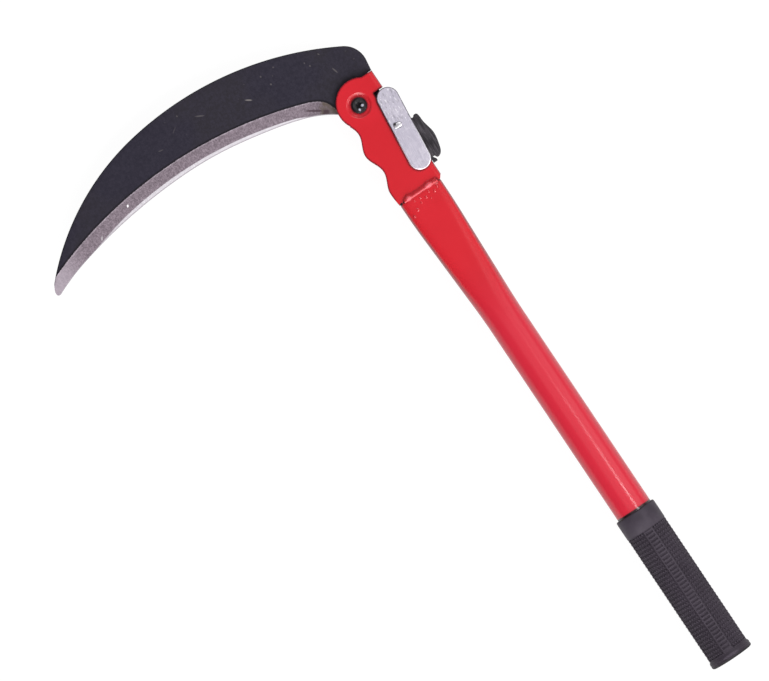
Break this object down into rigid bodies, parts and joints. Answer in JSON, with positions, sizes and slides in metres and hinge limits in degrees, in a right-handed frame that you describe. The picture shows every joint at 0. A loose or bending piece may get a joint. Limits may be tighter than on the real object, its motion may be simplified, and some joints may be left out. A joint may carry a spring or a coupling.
{
  "type": "folding sickle",
  "caption": "Crescent sickle blade that folds against a pressed tube handle, with a sliding thumb lock in the head and a ribbed rubber grip.",
  "frame": {"origin": "centre of the grip's butt face, on the axis of the handle", "axes": "+X along the handle from the butt to the head, +Y to the side of the open blade's tip, +Z to the face with the screw's head and the ground bevel"},
  "size_m": [0.4424, 0.232, 0.0268],
  "materials": {
    "red_paint": "glossy red paint",
    "grip_rubber": "ribbed, satin",
    "forged_steel": "dark forge scale, bare where it is ground",
    "zinc_plate": "zinc plated",
    "plain_steel": "plain",
    "blackened_steel": "black oxide",
    "black_plastic": "moulded"
  },
  "bodies": {
    "handle": {"handle_tube": "red_paint", "grip": "grip_rubber", "head_bracket": "red_paint", "weld_bead_front": "red_paint", "weld_bead_back": "red_paint", "pivot_screw": "blackened_steel", "pivot_sleeve": "plain_steel", "thrust_washer_front": "plain_steel", "thrust_washer_back": "plain_steel", "spring_washer": "plain_steel", "pivot_nut": "blackened_steel"},
    "blade": {"blade": "forged_steel"},
    "lock": {"lock_bolt": "plain_steel", "lock_key": "plain_steel", "lock_plate_front": "zinc_plate", "lock_plate_back": "zinc_plate", "thumb_slide": "black_plastic", "detent_spring": "plain_steel"}
  },
  "joints": [
    {"name": "blade_fold", "type": "hinge", "parent": "handle", "child": "blade", "pos_m": [0.3828, 0.0019, 0], "axis": [0, 0, 1], "range_deg": [0, 88.3]},
    {"name": "lock_slide", "type": "slide", "parent": "handle", "child": "lock", "axis": [0.9945, -0.1045, 0], "range_m": [0, 0.008]}
  ]
}
